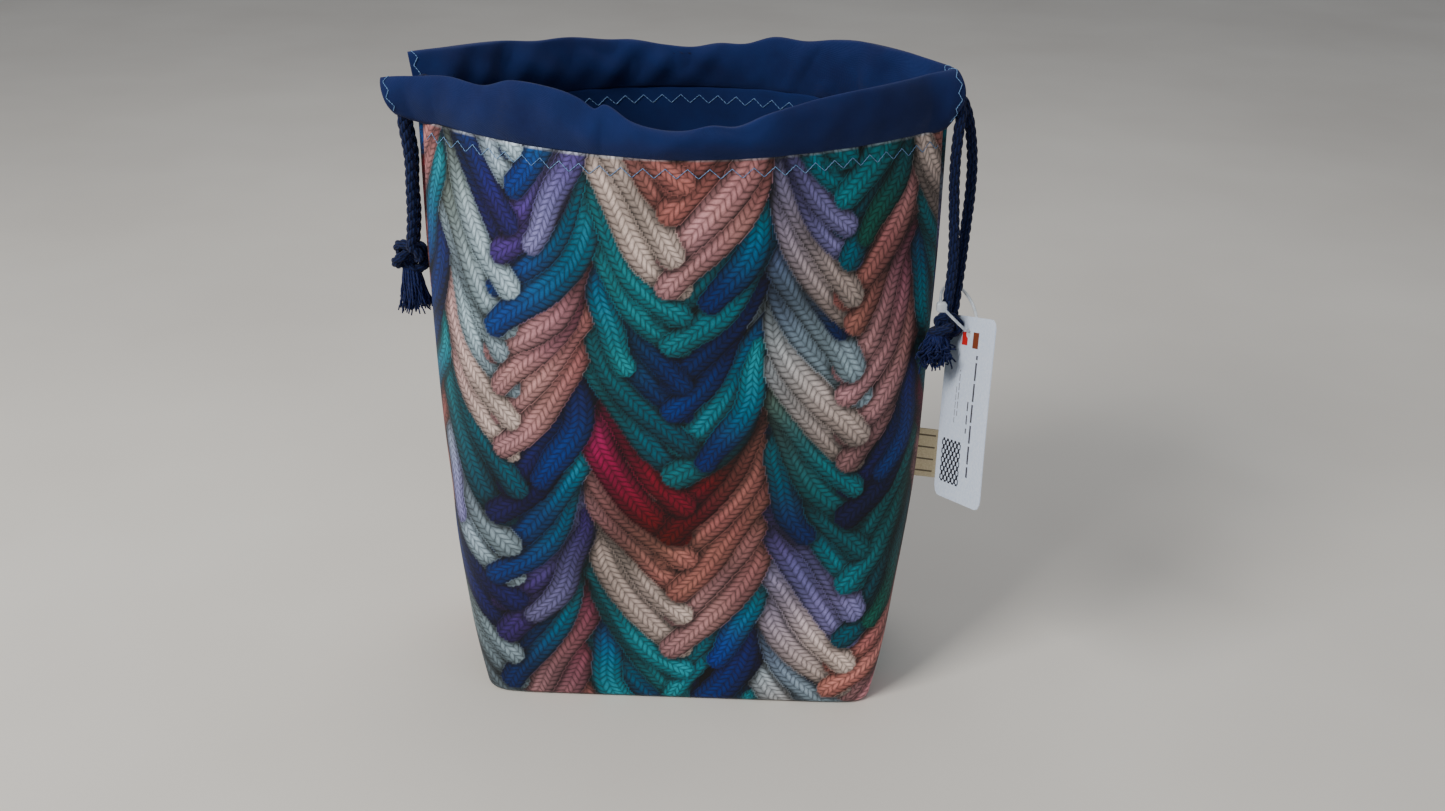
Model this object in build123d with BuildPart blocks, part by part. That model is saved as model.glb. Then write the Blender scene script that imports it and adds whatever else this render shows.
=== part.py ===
from build123d import *

import os
from math import atan2, copysign, cos, pi, sin, sqrt, tan

# Drawstring project bag for knitting: a boxed-bottom bag of three cloth layers, two drawstring
# casings sewn to its rim, two drawcords that each run right round the mouth, and a hang tag.
# Millimetres. +Z is up, -Y is the front. The origin is the middle of the base, on the surface
# that the bag stands on. X = 0 is the middle of the front and Y = 0 is the plane of the side seams.

# Body
base_half_width = 99.0
base_half_depth = 50.0  # behind the side seams
base_depth_front = 54.5  # the filled-out front stands a little further forward
rim_half_width = 123.5  # side seam to the middle of the mouth
rim_height = 287.0  # floor to the seam under the casings
rim_depth_front = 65.0  # how far the open mouth bows forward of the side seams
rim_depth_back = 76.0
bottom_edge_inset = 3.0  # the base is this much smaller than the walls just above it
bottom_edge_height = 5.0

# Cloth layers, from outside to inside
outer_thickness = 0.9
fleece_thickness = 1.2
lining_thickness = 0.7
layer_gap = 0.25
outline_points = 21
outline_crowding = 0.9  # draws the outline's points towards the side seams, where it turns most

# Drawstring casings: folded strips, open at both ends
casing_height = 27.0
casing_width = 8.6
casing_cloth = 1.0
casing_half_length = 119.0
rim_clearance = 0.3
channel_bottom = 3.0  # the fold and the seam close the channel this far from each edge
channel_top = 3.0

# Cords
cord_diameter = 5.5
left_cord_height = 296.5  # the left cord lies low in both casings, the right cord above it
right_cord_height = 304.0
run_half_length = 116.5
knot_radius = 7.2
knot_narrowing = 0.94
tassel_length = 22.0
tuft_length = 14.0

# Side label, folded and caught in the right side seam
label_reach = 14.0
label_bottom, label_top = 104.0, 131.0
label_thickness = 1.0

# Hang tag, turned almost edge on and leaning, on a plastic fastener loop
tag_width, tag_height, tag_thickness = 51.0, 89.0, 0.45
tag_corner_radius = 5.0
tag_hole = Vector(137.2, -29.2, 195.1)
tag_hole_from_left, tag_hole_from_top = 23.0, 8.0
tag_across = Vector(0.2725, -0.9137, 0.302)
tag_normal = Vector(-0.9604, -0.2386, 0.1448)
tag_hole_radius = 2.2
strap_radius = 0.7

FRONT, BACK = -1, 1

# Height, half width, depth in front, depth behind, and the two exponents of the outline: high
# ones give the rounded rectangle of the base, 2 and 1 the pointed oval of the open mouth.
levels = [
    (0.0, base_half_width - bottom_edge_inset, base_depth_front - bottom_edge_inset,
     base_half_depth - bottom_edge_inset, 8.0, 8.0),
    (bottom_edge_height, base_half_width + 1, base_depth_front, base_half_depth, 8.0, 8.0),
    (45.0, 109.0, 56.5, 56.0, 5.5, 5.0),
    (95.0, 116.5, 59.0, 62.0, 4.0, 3.2),
    (150.0, 121.0, 61.0, 68.0, 3.0, 2.2),
    (220.0, 123.5, 64.0, 74.0, 2.3, 1.4),
    (rim_height, rim_half_width, rim_depth_front, rim_depth_back, 2.0, 1.0),
]


def half_outline(level, side, inset):
    """Points of one half of the bag's outline at a level, from +X to -X."""
    _, half_width, front, back, p, q = level
    depth = (front if side == FRONT else back) - inset
    points = []
    for i in range(outline_points):
        turn = i / (outline_points - 1)
        angle = pi * turn - outline_crowding * sin(2 * pi * turn) / 2
        across = copysign(abs(cos(angle)) ** (2 / p), cos(angle))
        bow = abs(sin(angle)) ** (2 / q) if 0 < turn < 1 else 0.0
        points.append(((half_width - inset) * across, side * depth * bow))
    return points


def layer_panel(name, side, inset, thickness):
    """Front or back half of one cloth layer: its wall and its half of the boxed base."""
    with BuildPart() as panel:
        for level in levels:
            height = max(level[0], inset)
            with BuildSketch(Plane.XY.offset(height)):
                outer = half_outline(level, side, inset)
                inner = half_outline(level, side, inset + thickness)
                with BuildLine():
                    Spline(*outer)
                    Line(outer[-1], inner[-1])
                    Spline(*inner[::-1])
                    Line(inner[0], outer[0])
                make_face()
        loft(ruled=True)
        for level in levels[:2]:
            height = inset if level is levels[0] else inset + thickness
            mix = (height - levels[0][0]) / (levels[1][0] - levels[0][0])
            between = [a + (b - a) * mix for a, b in zip(levels[0], levels[1])]
            with BuildSketch(Plane.XY.offset(height)):
                outer = half_outline(between, side, inset + thickness / 2)
                with BuildLine():
                    Spline(*outer)
                    Line(outer[-1], outer[0])
                make_face()
        loft(ruled=True)
    panel.part.label = name
    export_step(panel.part, f"parts/{name}.step")


def rim_depth(side):
    return rim_depth_front if side == FRONT else rim_depth_back


def rim_point(side, half_length, offset):
    """Point on the rim's arc, moved outward by offset, where the arc itself reaches half_length."""
    depth = rim_depth(side)
    radius = (rim_half_width**2 + depth**2) / (2 * depth)
    angle = atan2(sqrt(radius**2 - half_length**2), abs(half_length))
    reach = radius + offset
    x = copysign(reach * cos(angle), half_length)
    return x, side * (depth - radius + reach * sin(angle))


def rim_band(side, half_length, width):
    """Closed outline of a strip of this width that follows the rim's arc."""
    corners = [
        [rim_point(side, end * half_length, shift) for end in (-1, 0, 1)]
        for shift in (-width / 2, width / 2)
    ]
    inner, outer = corners
    ThreePointArc(*inner)
    ThreePointArc(*outer)
    Line(inner[0], outer[0])
    Line(inner[2], outer[2])


def casing(name, side):
    """Folded strip on one half of the rim, hollow for the cords and open at both ends."""
    bottom = rim_height + rim_clearance
    with BuildPart() as strip:
        with BuildSketch(Plane.XY.offset(bottom)):
            with BuildLine():
                rim_band(side, casing_half_length, casing_width)
            make_face()
        extrude(amount=casing_height)
        with BuildSketch(Plane.XY.offset(bottom + channel_bottom)):
            with BuildLine():
                rim_band(side, rim_half_width, casing_width - 2 * casing_cloth)
            make_face()
        extrude(amount=casing_height - channel_bottom - channel_top, mode=Mode.SUBTRACT)
    strip.part.label = name
    export_step(strip.part, f"parts/{name}.step")


def cord_run(name, side, height):
    """Stretch of cord inside a casing: one arc along the rim."""
    ends = [rim_point(side, end * run_half_length, 0) for end in (-1, 0, 1)]
    with BuildPart() as run:
        with BuildLine() as path:
            ThreePointArc(*[(x, y, height) for x, y in ends])
        with BuildSketch(Plane(path.line @ 0, z_dir=path.line % 0)):
            Circle(cord_diameter / 2)
        sweep()
    run.part.label = name
    export_step(run.part, f"parts/{name}.step")


def corner_radii(points):
    """Largest arcs that a route's runs allow: 0.45 of the shorter run over tan of half the turn."""
    radii = []
    for before, corner, after in zip(points, points[1:], points[2:]):
        first, second = corner - before, after - corner
        half_turn = first.get_angle(second) / 2
        radii.append(0.45 * min(first.length, second.length) / tan(half_turn * pi / 180))
    return radii


def tube(name, route, radius):
    """Round tube along straight runs joined by tangent arcs."""
    points = [Vector(*point) for point in route]
    radii = corner_radii(points)
    with BuildPart() as cord:
        with BuildLine() as path:
            FilletPolyline(*points, radius=radii)
        with BuildSketch(Plane(path.line @ 0, z_dir=path.line % 0)):
            Circle(radius)
        sweep()
    length = path.wire().length
    share = cord.part.volume / (pi * radius**2 * length)
    print(name, "length", round(length, 1), "volume share", round(share, 4),
          "radii", [round(r, 1) for r in radii])
    cord.part.label = name
    export_step(cord.part, f"parts/{name}.step")


def bridge(name, end, height):
    """Stretch of cord that turns from the front casing to the back casing over a side seam."""
    front_x, front_y = rim_point(FRONT, end * (run_half_length + 0.5), 0)
    back_x, back_y = rim_point(BACK, end * (run_half_length + 0.5), 0)
    turn = rim_half_width + 1.5
    route = [(front_x, front_y, height), (end * turn, 0.0, height), (back_x, back_y, height)]
    tube(name, route, cord_diameter / 2)


def knot(name, centre):
    """Overhand knot in the two tails, as its rounded outer shape."""
    with BuildPart() as ball:
        with BuildSketch(Plane.XZ.offset(-centre.Y)):
            with Locations((centre.X, centre.Z)):
                Ellipse(knot_radius * knot_narrowing, knot_radius)
            with Locations((centre.X - knot_radius, centre.Z)):
                Rectangle(2 * knot_radius, 4 * knot_radius, mode=Mode.SUBTRACT)
        revolve(axis=Axis(centre, (0, 0, 1)))
    ball.part.label = name
    export_step(ball.part, f"parts/{name}.step")


def tassel(name, top, length, top_radius, bottom_radius):
    """Frayed ends below a knot, as one flared plug."""
    with BuildPart() as ends:
        with BuildSketch(Plane(top)):
            Circle(top_radius)
        with BuildSketch(Plane(top).offset(-length)):
            Circle(bottom_radius)
        loft()
    ends.part.label = name
    export_step(ends.part, f"parts/{name}.step")


os.makedirs("parts", exist_ok=True)

# Cloth layers
inset = 0.0
for layer, thickness in (
    ("outer", outer_thickness),
    ("fleece", fleece_thickness),
    ("lining", lining_thickness),
):
    layer_panel(f"{layer}_front_panel", FRONT, inset, thickness)
    layer_panel(f"{layer}_back_panel", BACK, inset, thickness)
    inset += thickness + layer_gap

# Casings, and the cords inside them
for word, side in (("front", FRONT), ("back", BACK)):
    casing(f"{word}_casing", side)
    cord_run(f"left_cord_{word}_run", side, left_cord_height)
    cord_run(f"right_cord_{word}_run", side, right_cord_height)

# Each cord turns over the side seam opposite its own knot
bridge("left_cord_bridge", 1, left_cord_height)
bridge("right_cord_bridge", -1, right_cord_height)

# Hanging tails: out of the casing ends, over the rim and down to the knots
left_front_tail = [
    (-120.5, -4.2, left_cord_height), (-126.5, -3.8, 295.0), (-130.4, -4.6, 289.5),
    (-128.9, -6.0, 281.0), (-127.2, -7.4, 269.0), (-127.9, -7.6, 254.0), (-128.4, -6.2, 240.0),
    (-130.8, -4.2, 223.5),
]
left_back_tail = [
    (-120.5, 5.6, left_cord_height), (-126.0, 5.4, 295.2), (-130.6, 5.8, 288.5),
    (-129.6, 6.4, 279.0), (-128.2, 7.2, 268.0), (-129.8, 7.8, 253.0), (-128.8, 6.2, 238.0),
    (-130.6, 3.8, 223.5),
]
right_front_tail = [
    (120.5, -4.2, right_cord_height), (126.0, -4.6, 302.8), (129.0, -6.5, 296.5),
    (127.5, -8.2, 285.0), (127.2, -8.6, 268.0), (128.4, -9.4, 250.0), (129.6, -11.5, 232.0),
    (129.0, -16.0, 214.0), (126.2, -22.0, 199.5),
]
right_back_tail = [
    (120.5, 5.6, right_cord_height), (126.6, 5.4, 303.0), (131.8, 6.4, 297.0),
    (135.4, 7.4, 286.0), (138.0, 7.6, 270.0), (138.0, 5.6, 253.0), (136.2, 0.5, 236.0),
    (133.8, -8.5, 217.5), (130.8, -17.6, 200.5),
]
left_knot_centre = Vector(-132.2, 0.0, 219.0)
right_knot_centre = Vector(127.2, -22.0, 194.7)
left_tassel_top = Vector(-132.2, 0.0, 212.5)
right_tassel_top = Vector(122.6, -26.0, 189.0)
for name, route in (
    ("left_front_tail", left_front_tail),
    ("left_back_tail", left_back_tail),
    ("right_front_tail", right_front_tail),
    ("right_back_tail", right_back_tail),
):
    tube(name, route, cord_diameter / 2)
knot("left_knot", left_knot_centre)
knot("right_knot", right_knot_centre)
tassel("left_tassel", left_tassel_top, tassel_length, 4.0, 7.5)
tassel("right_tassel", right_tassel_top, tuft_length, 4.5, 6.5)

# Side label: its inner edge lies along the slanting side seam
with BuildPart() as side_label:
    with BuildSketch(Plane.XZ.offset(-label_thickness / 2)):
        low, high = levels[3], levels[4]
        slope = (high[1] - low[1]) / (high[0] - low[0])
        inner_low = low[1] + slope * (label_bottom - low[0]) + 0.05
        inner_high = low[1] + slope * (label_top - low[0]) + 0.05
        with BuildLine():
            Polyline(
                (inner_low, label_bottom),
                (inner_low + label_reach, label_bottom - 1.5),
                (inner_high + label_reach - 1.5, label_top - 1.0),
                (inner_high, label_top),
                close=True,
            )
        make_face()
    extrude(amount=label_thickness)
side_label.part.label = "side_label"
export_step(side_label.part, "parts/side_label.step")

# Hang tag: a card with rounded corners and a punched hole
tag_plane = Plane(origin=tag_hole, x_dir=tag_across, z_dir=tag_normal)
with BuildPart() as hang_tag:
    with BuildSketch(tag_plane.offset(-tag_thickness / 2)):
        centre = (tag_width / 2 - tag_hole_from_left, tag_hole_from_top - tag_height / 2)
        with Locations(centre):
            RectangleRounded(tag_width, tag_height, tag_corner_radius)
        Circle(tag_hole_radius, mode=Mode.SUBTRACT)
    extrude(amount=tag_thickness)
hang_tag.part.label = "hang_tag"
export_step(hang_tag.part, "parts/hang_tag.step")

# Tag fastener: a thin strap from its square head, through the card, round the cords and back
fastener_head = Vector(123.6, -31.0, 208.5)
strap_route = [
    fastener_head, Vector(130.6, -33.2, 202.0), tag_hole, Vector(141.8, -26.0, 196.0),
    Vector(141.6, -16.0, 203.0), Vector(136.0, -6.6, 210.0), Vector(128.4, -7.6, 212.0),
    Vector(123.6, -17.0, 210.6), fastener_head + Vector(-0.8, 1.0, 1.0),
]
with BuildPart() as tag_fastener:
    with BuildLine() as strap:
        FilletPolyline(*strap_route, radius=corner_radii(strap_route))
    with BuildSketch(Plane(strap.line @ 0, z_dir=strap.line % 0)):
        Circle(strap_radius)
    sweep()
    with BuildSketch(Plane.XZ.offset(-fastener_head.Y + 1.5)):
        with Locations((fastener_head.X - 0.6, fastener_head.Z + 0.4)):
            RectangleRounded(5.2, 5.2, 0.8)
    extrude(amount=-3.4)
tag_fastener.part.label = "tag_fastener"
export_step(tag_fastener.part, "parts/tag_fastener.step")
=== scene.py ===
from math import cos, pi, radians, sin, sqrt

import bmesh
import bpy
import numpy as np
from mathutils import Matrix, Vector


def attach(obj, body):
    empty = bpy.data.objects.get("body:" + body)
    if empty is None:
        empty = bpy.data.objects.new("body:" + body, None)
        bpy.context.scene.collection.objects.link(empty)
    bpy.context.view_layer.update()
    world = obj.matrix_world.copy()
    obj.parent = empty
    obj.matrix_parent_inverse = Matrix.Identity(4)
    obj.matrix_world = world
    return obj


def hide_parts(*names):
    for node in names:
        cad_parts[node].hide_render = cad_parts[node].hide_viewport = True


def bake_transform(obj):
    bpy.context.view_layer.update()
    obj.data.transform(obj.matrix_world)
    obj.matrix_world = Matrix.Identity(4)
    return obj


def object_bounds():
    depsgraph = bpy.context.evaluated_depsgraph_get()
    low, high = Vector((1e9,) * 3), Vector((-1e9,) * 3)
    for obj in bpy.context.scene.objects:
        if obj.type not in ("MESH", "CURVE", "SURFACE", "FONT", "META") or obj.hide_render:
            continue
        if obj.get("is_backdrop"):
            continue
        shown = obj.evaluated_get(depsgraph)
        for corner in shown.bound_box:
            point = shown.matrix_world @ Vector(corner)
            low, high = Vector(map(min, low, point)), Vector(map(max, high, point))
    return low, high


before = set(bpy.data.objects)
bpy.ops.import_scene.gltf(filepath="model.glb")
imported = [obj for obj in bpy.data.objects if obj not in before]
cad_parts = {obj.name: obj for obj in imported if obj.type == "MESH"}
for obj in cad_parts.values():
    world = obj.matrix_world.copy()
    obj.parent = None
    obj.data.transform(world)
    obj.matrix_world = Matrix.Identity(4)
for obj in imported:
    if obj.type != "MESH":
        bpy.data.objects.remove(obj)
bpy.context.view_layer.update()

MM = 0.001
rng = np.random.default_rng(11)

# ---- camera, first of all
camera_data = bpy.data.cameras.new("camera")
camera_data.lens = 37.0
camera_data.sensor_width = 36.0
camera_data.dof.use_dof = False
camera_data.clip_start = 0.01
camera = bpy.data.objects.new("camera", camera_data)
camera.location = (0.0207, -0.6843, 0.4606)
camera.rotation_euler = (Matrix.Rotation(radians(65.0), 3, "X")
                         @ Matrix.Rotation(radians(0.95), 3, "Z")).to_euler()
bpy.context.scene.collection.objects.link(camera)
bpy.context.scene.camera = camera

# ---- dimensions, millimetres
RIM_Z = 287.0
# height, half width, depth in front, depth behind, outline exponents across and fore-and-aft
LEVELS = np.array([
    (0, 99.5, 54.5, 50, 14, 14),
    (45, 109, 56.5, 56, 7, 6.5),
    (95, 116.5, 59, 62, 4.4, 3.6),
    (150, 121, 61, 68, 3, 2.2),
    (220, 123.5, 64, 74, 2.3, 1.4),
    (RIM_Z, 123.5, 65, 76, 2, 1),
])
EDGE_RADIUS = 2.4  # rounding of the bottom edge
BASE_SEAM = 55.0  # half length of the straight middle of the base's seam
SEAM_FORWARD = 4.5  # the side seams sit a little forward of the bag's widest line
TIP_ROUNDING = 4.0  # standard deviation of the smoothing that rounds the ends of the mouth
PANEL_WIDTH, PANEL_LENGTH = 297, 337.0  # one cloth panel as it was cut
BASE_SKEW = 0.03  # the base stands a little turned under the mouth
LINING_INSET, FLEECE_INSET = 3.3, 1.75
CORD_D, CORD_PITCH = 5.5, 14.0
STRANDS, STRAND_REACH, STRAND_RADIUS = 3, 0.215, 0.283  # the last two as shares of a rope's diameter
V_LENGTH = 10.0  # of a tube, for one unit of its texture coordinate v
STITCH_LENGTH = 3.4  # of the knitting drawn on the printed cotton


# ---- small tools
def smoothstep(x):
    x = np.clip(x, 0, 1)
    return x * x * (3 - 2 * x)


def unit(rows):
    return rows / np.linalg.norm(rows, axis=-1, keepdims=True)


def waves(a, b, seed, count, low, high):
    """Smooth random field of unit size over two coordinates, as a sum of plane sine waves."""
    r = np.random.default_rng(seed)
    total = np.zeros(np.broadcast(a, b).shape)
    for _ in range(count):
        turn, length, phase = r.uniform(0, 2 * pi), r.uniform(low, high), r.uniform(0, 2 * pi)
        total = total + np.sin(2 * pi * (a * cos(turn) + b * sin(turn)) / length + phase)
    return total / sqrt(count)


def hermite(a, slope_a, b, slope_b, f):
    """From a at f = 0 to b at f = 1, leaving and arriving with the given slopes."""
    return ((2 * f**3 - 3 * f**2 + 1) * a + (f**3 - 2 * f**2 + f) * slope_a
            + (-2 * f**3 + 3 * f**2) * b + (f**3 - f**2) * slope_b)


def spline_through(stations, n):
    """n points along a smooth curve through the stations (rows of any width), evenly in turn."""
    s = np.asarray(stations, float)
    slopes = np.gradient(s, axis=0)
    x = np.linspace(0, len(s) - 1, n)
    i = np.clip(x.astype(int), 0, len(s) - 2)
    return hermite(s[i], slopes[i], s[i + 1], slopes[i + 1], (x - i)[:, None])


def arc_lengths(points):
    steps = np.linalg.norm(np.diff(points, axis=0), axis=1)
    return np.concatenate([[0], np.cumsum(steps)])


def read_at(x, places, rows):
    """Rows read at x, in between where they stand in places."""
    return np.stack([np.interp(x, places, column) for column in rows.T], axis=-1)


def evenly(points, n):
    """The same polyline with n points at equal distances."""
    s = arc_lengths(points)
    return read_at(np.linspace(0, s[-1], n), s, points)


def link(obj):
    bpy.context.scene.collection.objects.link(obj)
    return obj


def make_mesh(name, verts, faces, material, smooth=True, uvs=None):
    """Mesh object from points in millimetres. uvs holds one pair for each corner of each face."""
    mesh = bpy.data.meshes.new(name)
    mesh.from_pydata([tuple(v) for v in np.asarray(verts) * MM], [], [tuple(f) for f in faces])
    mesh.materials.append(material)
    mesh.polygons.foreach_set("use_smooth", [smooth] * len(mesh.polygons))
    if uvs is not None:
        layer = mesh.uv_layers.new(name="uv")
        layer.data.foreach_set("uv", np.asarray(uvs, np.float32).ravel())
    mesh.update()
    return link(bpy.data.objects.new(name, mesh))


def quad_corners(rows, n):
    """Row and column of each corner of the quads between rows, n quads in each."""
    i, j = np.divmod(np.arange((rows - 1) * n), n)
    return np.stack([i, i, i + 1, i + 1], axis=1), np.stack([j, j + 1, j + 1, j], axis=1)


def grid_faces(rows, cols, flip=False):
    row, col = quad_corners(rows, cols - 1)
    quads = row * cols + col
    return quads[:, ::-1] if flip else quads


def normals_along(points):
    """Two normals at each point that turn as little as possible along a polyline."""
    t = unit(np.gradient(points, axis=0))
    a = [unit(np.cross(t[0], (0.3, 0.9, 0.1)))]
    for tangent in t[1:]:
        a.append(unit(a[-1] - tangent * np.dot(a[-1], tangent)))
    a = np.array(a)
    return a, np.cross(t, a)


class Tubes:
    """Round tubes gathered into one mesh, with texture coordinates round and along each."""

    def __init__(self):
        self.verts, self.faces, self.uvs, self.count = [], [], [], 0

    def add(self, points, radius, sides=8):
        p = np.asarray(points, float)
        a, b = normals_along(p)
        turn = np.linspace(0, 2 * pi, sides, endpoint=False)[None, :, None]
        ring = a[:, None] * np.cos(turn) + b[:, None] * np.sin(turn)
        radius = np.broadcast_to(radius, (len(p),))[:, None, None]
        self.verts.append((p[:, None] + ring * radius).reshape(-1, 3))
        v = arc_lengths(p) / V_LENGTH
        row, col = quad_corners(len(p), sides)
        self.faces += (self.count + row * sides + col % sides).tolist()
        self.uvs += np.stack([col / sides, v[row]], axis=-1).reshape(-1, 2).tolist()
        for i, order in ((0, -1), (len(p) - 1, 1)):
            corners = range(sides)[::order]
            self.faces.append([self.count + i * sides + j for j in corners])
            self.uvs += [(j / sides, v[i]) for j in corners]
        self.count += len(p) * sides

    def object(self, name, material):
        return make_mesh(name, np.concatenate(self.verts), self.faces, material, uvs=self.uvs)


def add_rope(tubes, points, diameter, pitch, sides=8, step=1):
    """Twisted strands about a polyline, with a ring of points at each step."""
    p = evenly(points, max(8, int(arc_lengths(points)[-1] / step)))
    a, b = normals_along(p)
    for k in range(STRANDS):
        turn = (2 * pi * (arc_lengths(p) / pitch + k / STRANDS))[:, None]
        strand = p + diameter * STRAND_REACH * (a * np.cos(turn) + b * np.sin(turn))
        tubes.add(strand, diameter * STRAND_RADIUS, sides)


def nurbs_points(name, route):
    """Points of the NURBS whose control points are the route's points, in millimetres."""
    curve = bpy.data.curves.new(name, "CURVE")
    curve.dimensions = "3D"
    curve.resolution_u = 24
    spline = curve.splines.new("NURBS")
    spline.points.add(len(route) - 1)
    for point, co in zip(spline.points, route):
        point.co = (co[0] * MM, co[1] * MM, co[2] * MM, 1)
    spline.order_u = 3
    spline.use_endpoint_u = True
    holder = link(bpy.data.objects.new(name, curve))
    mesh = bpy.data.meshes.new_from_object(holder)
    points = np.array([tuple(v.co) for v in mesh.vertices]) / MM
    bpy.data.meshes.remove(mesh)
    bpy.data.objects.remove(holder)
    bpy.data.curves.remove(curve)
    return points


# ---- materials
def srgb(code):
    """Linear colour from a six-digit hexadecimal one."""
    c = np.array([int(code[k:k + 2], 16) / 255 for k in (0, 2, 4)])
    return np.where(c <= 0.04045, c / 12.92, ((c + 0.055) / 1.055) ** 2.4)


class Shader:
    """A Principled material and short calls that add nodes to it."""

    def __init__(self, name, roughness, **sockets):
        self.material = bpy.data.materials.new(name)
        self.material.use_nodes = True
        self.tree = self.material.node_tree
        self.bsdf = self.tree.nodes["Principled BSDF"]
        self.bsdf.inputs["Roughness"].default_value = roughness
        for key, value in sockets.items():
            self.bsdf.inputs[key.replace("_", " ")].default_value = value

    def node(self, kind, inputs=None, **settings):
        n = self.tree.nodes.new(kind)
        for key, value in settings.items():
            setattr(n, key, value)
        for key, value in (inputs or {}).items():
            self.put(n.inputs[key], value)
        return n

    def put(self, socket, value):
        if isinstance(value, bpy.types.NodeSocket):
            self.tree.links.new(value, socket)
        else:
            socket.default_value = value

    def math(self, operation, a, *more):
        return self.node("ShaderNodeMath", dict(enumerate((a, *more))), operation=operation).outputs[0]

    def times(self, a, b):
        return self.math("MULTIPLY", a, b)

    def scaled(self, a, by, plus):
        return self.math("MULTIPLY_ADD", a, by, plus)

    def between(self, value, low, high):
        above = self.math("GREATER_THAN", value, low)
        return self.times(above, self.math("LESS_THAN", value, high))

    def coordinates(self, kind="Object"):
        return self.node("ShaderNodeTexCoord").outputs[kind]

    def uv(self):
        return self.split(self.coordinates("UV"))[:2]

    def noise(self, vector, scale, detail=3, roughness=0.55):
        inputs = {"Vector": vector, "Scale": scale, "Detail": detail, "Roughness": roughness}
        return self.node("ShaderNodeTexNoise", inputs).outputs[0]

    def ramp(self, factor, dark, light, low=0.3, high=0.7):
        """From dark, where the factor is low, to light, where it is high."""
        n = self.node("ShaderNodeValToRGB", {0: factor})
        for element, place, code in zip(n.color_ramp.elements, (low, high), (dark, light)):
            element.position = place
            element.color = (*srgb(code), 1)
        return n.outputs[0]

    def cover(self, factor, colour, code):
        """The colour, covered by another one as far as the factor says."""
        inputs = {0: factor, 6: colour, 7: (*srgb(code), 1)}
        return self.node("ShaderNodeMix", inputs, data_type="RGBA", blend_type="MIX").outputs[2]

    def split(self, vector):
        return self.node("ShaderNodeSeparateXYZ", {0: vector}).outputs

    def bump(self, height, distance, strength=1):
        inputs = {"Height": height, "Distance": distance, "Strength": strength}
        self.put(self.bsdf.inputs["Normal"], self.node("ShaderNodeBump", inputs).outputs[0])

    def colour(self, value):
        self.put(self.bsdf.inputs["Base Color"], value)
        return self.material


def weave_height(s, vector, per_metre):
    """Height of a plain weave: two crossed sine waves in the cloth's own directions."""
    x, y, z = s.split(vector)
    a = s.math("SINE", s.times(s.math("ADD", x, y), 2 * pi * per_metre))
    b = s.math("SINE", s.times(z, 2 * pi * per_metre))
    return s.times(a, b)


def print_material():
    """Printed cotton: a drawing of knitted ropes, drawn from two attributes of the cloth."""
    s = Shader("print_cotton", 0.78, Specular_IOR_Level=0.25, Sheen_Weight=0.08)
    ink = s.node("ShaderNodeAttribute", attribute_name="ink").outputs["Color"]
    strand = s.node("ShaderNodeAttribute", attribute_name="strand").outputs["Vector"]
    along, across, shade = s.split(strand)
    where = s.coordinates()
    wobble = s.scaled(s.noise(where, 160, 2), 0.9, -0.45)
    # two columns of stitches side by side in each rope
    column = s.math("ADD", across, 1)
    side = s.math("ABSOLUTE", s.scaled(s.math("FRACT", column), 2, -1))
    phase = s.scaled(side, 1.05, s.times(along, 1 / STITCH_LENGTH))
    phase = s.math("ADD", phase, wobble)
    saw = s.scaled(s.math("FRACT", phase), 2, -1)
    stitch = s.math("SUBTRACT", 1, s.math("POWER", s.math("ABSOLUTE", saw), 2.7))
    lobe = s.math("POWER", s.math("SINE", s.times(side, pi)), 0.7)
    knit = s.times(stitch, s.scaled(lobe, 0.7, 0.3))
    # rounding of the whole rope, fine fibres, and lighter and darker patches
    rounding = s.math("SUBTRACT", 1, s.math("POWER", s.math("ABSOLUTE", across), 2.3))
    light = s.times(s.scaled(knit, 0.78, 0.22), s.scaled(rounding, 0.86, 0.05))
    light = s.times(light, s.scaled(s.noise(where, 900, 3, 0.7), 0.9, 0.55))
    light = s.times(light, s.scaled(s.noise(where, 13, 2), 2.3, -0.33))
    value = s.node("ShaderNodeHueSaturation", {
        "Hue": s.scaled(s.noise(where, 22, 2), 0.05, 0.475), "Saturation": 1.12,
        "Value": s.times(light, shade), "Color": ink}).outputs[0]
    s.bump(weave_height(s, where, 1700), 0.00006, 0.5)
    return s.colour(value)


def navy_cotton_material():
    s = Shader("navy_cotton", 0.85, Specular_IOR_Level=0.14, Sheen_Weight=0.05,
               Sheen_Roughness=0.5)
    where = s.coordinates()
    base = s.ramp(s.noise(where, 38, 4), "0A1640", "122354")
    base = s.cover(s.times(s.noise(where, 1500, 2, 0.8), 0.15), base, "2A3F78")
    creases = s.times(s.noise(where, 260, 4), 1.6)
    s.bump(s.math("ADD", weave_height(s, where, 1500), creases), 0.00012, 0.6)
    return s.colour(base)


def fleece_material():
    s = Shader("fleece", 0.95, Specular_IOR_Level=0.1)
    fuzz = s.noise(s.coordinates(), 420, 5, 0.75)
    s.bump(fuzz, 0.0005, 0.7)
    return s.colour(s.ramp(fuzz, "D8D4CA", "F1EEE6"))


def cord_material(name, dark, light):
    s = Shader(name, 0.88, Specular_IOR_Level=0.12, Sheen_Weight=0.05, Sheen_Roughness=0.6)
    u, v = s.uv()
    turns = s.math("ADD", s.times(u, 5), s.times(v, 3.5))
    lines = s.math("SINE", s.times(turns, 2 * pi))
    fuzz = s.noise(s.coordinates(), 1100, 4, 0.8)
    s.bump(s.math("ADD", lines, s.times(fuzz, 2)), 0.00018, 0.8)
    return s.colour(s.ramp(s.scaled(lines, 0.2, fuzz), dark, light, 0.25, 0.8))


def thread_material():
    s = Shader("stitch_thread", 0.5, Specular_IOR_Level=0.4)
    sheen = s.noise(s.coordinates(), 1600, 2)
    return s.colour(s.ramp(sheen, "4F78A8", "86AAD0", 0.35))


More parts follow.
